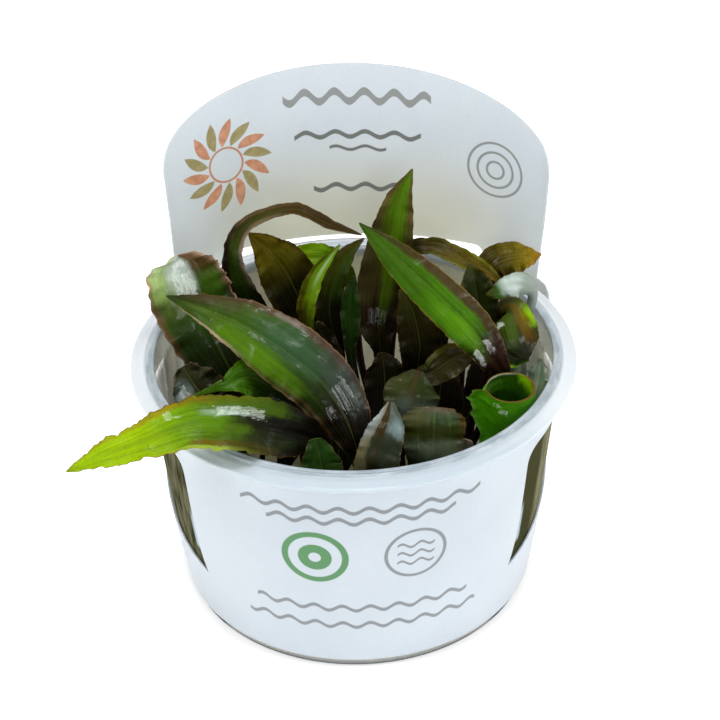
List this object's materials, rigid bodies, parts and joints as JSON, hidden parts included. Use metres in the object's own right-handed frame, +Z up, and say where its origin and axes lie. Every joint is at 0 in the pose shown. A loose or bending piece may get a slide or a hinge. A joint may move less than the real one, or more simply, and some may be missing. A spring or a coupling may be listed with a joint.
{
  "type": "potted cryptocoryne nurii",
  "caption": "Tissue-cultured aquarium plants with long bronze-green leaves, growing on gel in a clear plastic cup wrapped in a card sleeve with a raised back.",
  "frame": {"origin": "middle of the cup's flat underside", "axes": "+Z up, -Y towards the front panel, +X to the right as seen from the front"},
  "size_m": [0.1121, 0.1038, 0.1065],
  "materials": {
    "clear_cup": "clear, slightly milky, smooth",
    "card": "thin white coated card, satin",
    "gel": "cloudy nutrient gel",
    "crown": "fibrous brown-green plant crown",
    "leaf_bright": "wet young leaf, yellow-green",
    "leaf_green": "wet leaf, mid green with brown edges",
    "leaf_brown": "wet leaf, brown and olive",
    "leaf_olive": "wet leaf, grey olive",
    "leaf_dark": "wet leaf, very dark green and brown"
  },
  "bodies": {
    "root": {"cup": "clear_cup", "label_sleeve": "card", "growing_gel": "gel", "crown_1": "crown", "crown_2": "crown", "crown_3": "crown", "crown_4": "crown", "crown_5": "crown", "crown_6": "crown", "leaf_01": "leaf_bright", "leaf_02": "leaf_green", "leaf_03": "leaf_dark", "leaf_04": "leaf_brown", "leaf_05": "leaf_dark", "leaf_06": "leaf_bright", "leaf_07": "leaf_bright", "leaf_08": "leaf_dark", "leaf_09": "leaf_brown", "leaf_10": "leaf_green", "leaf_11": "leaf_brown", "leaf_12": "leaf_brown", "leaf_13": "leaf_dark", "leaf_14": "leaf_olive", "leaf_15": "leaf_bright", "leaf_16": "leaf_dark", "leaf_17": "leaf_green", "leaf_18": "leaf_brown", "leaf_19": "leaf_brown", "leaf_20": "leaf_brown", "leaf_21": "leaf_green", "leaf_22": "leaf_green", "leaf_23": "leaf_dark", "leaf_24": "leaf_olive", "leaf_25": "leaf_dark", "leaf_26": "leaf_dark", "leaf_27": "leaf_dark", "leaf_28": "leaf_dark", "leaf_29": "leaf_olive", "leaf_30": "leaf_olive", "leaf_31": "leaf_olive", "leaf_32": "leaf_olive", "leaf_33": "leaf_olive", "leaf_34": "leaf_olive", "leaf_35": "leaf_dark", "leaf_36": "leaf_dark", "leaf_37": "leaf_dark", "leaf_38": "leaf_green", "leaf_39": "leaf_green", "leaf_40": "leaf_dark", "leaf_41": "leaf_dark", "leaf_42": "leaf_dark", "leaf_43": "leaf_brown", "leaf_44": "leaf_dark"}
  },
  "joints": []
}
